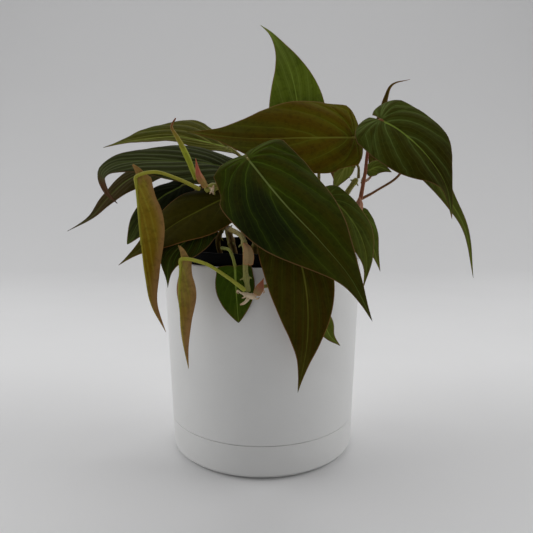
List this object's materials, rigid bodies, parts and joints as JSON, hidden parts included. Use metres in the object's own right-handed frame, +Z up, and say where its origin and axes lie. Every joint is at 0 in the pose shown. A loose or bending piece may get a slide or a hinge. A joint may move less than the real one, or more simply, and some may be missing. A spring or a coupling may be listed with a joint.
{
  "type": "potted philodendron",
  "caption": "Trailing heart-leaf philodendron with velvety drip-tip leaves on thin stalks, growing in a nursery pot set in a round white planter with a flush saucer.",
  "frame": {"origin": "centre of the saucer's flat underside, on the planter's axis", "axes": "+Z up along the planter's axis; -Y is the front, the side the largest leaf hangs over; +X to the right seen from the front"},
  "size_m": [0.2473, 0.1767, 0.247],
  "materials": {
    "planter_white": "smooth satin white plastic",
    "nursery_black": "thin matt black plastic",
    "potting_mix": "dark crumbly peat mix",
    "leaf_dark": "velvety dark green with paler impressed veins",
    "leaf_green": "velvety mid green with paler impressed veins",
    "leaf_bronze": "velvety olive-bronze with paler veins",
    "leaf_young": "soft pinkish bronze young leaf with a lime midrib",
    "stem": "smooth olive to reddish-brown stem",
    "new_growth": "lime green with a red hooked tip",
    "sheath": "papery pink to cream sheath",
    "aerial_root": "dull pale root"
  },
  "bodies": {
    "root": {"leaf_back_arching": "leaf_dark", "leaf_back_left": "leaf_green", "leaf_back_middle": "leaf_green", "leaf_back_right": "leaf_green", "leaf_back_rim": "leaf_green", "leaf_back_rim_left": "leaf_bronze", "leaf_back_rim_right": "leaf_green", "leaf_back_upper": "leaf_bronze", "leaf_cluster_a": "leaf_green", "leaf_cluster_b": "leaf_green", "leaf_front_large": "leaf_dark", "leaf_front_lower": "leaf_bronze", "leaf_left_back": "leaf_dark", "leaf_left_bronze": "leaf_bronze", "leaf_left_dark": "leaf_dark", "leaf_left_middle": "leaf_dark", "leaf_left_rim": "leaf_dark", "leaf_left_upper": "leaf_dark", "leaf_right_hanging": "leaf_green", "leaf_right_heart": "leaf_green", "leaf_right_lower": "leaf_green", "leaf_right_rim": "leaf_green", "leaf_right_up": "leaf_bronze", "leaf_small_front": "leaf_green", "leaf_small_right": "leaf_green", "leaf_top_bronze": "leaf_bronze", "leaf_upright": "leaf_green", "leaf_young_front": "leaf_young", "leaf_young_left": "leaf_young", "new_leaf_spear": "new_growth", "nursery_pot": "nursery_black", "planter_pot": "planter_white", "potting_mix": "potting_mix", "roots_front": "aerial_root", "roots_left": "aerial_root", "roots_right": "aerial_root", "sheath_front": "sheath", "sheath_front_low": "sheath", "sheath_left": "sheath", "sheath_right": "sheath", "snap_saucer": "planter_white", "vine_back": "stem", "vine_back_left": "stem", "vine_back_right": "stem", "vine_center": "stem", "vine_front": "stem", "vine_left": "stem", "vine_right": "stem", "vine_right_upper": "stem"}
  },
  "joints": []
}
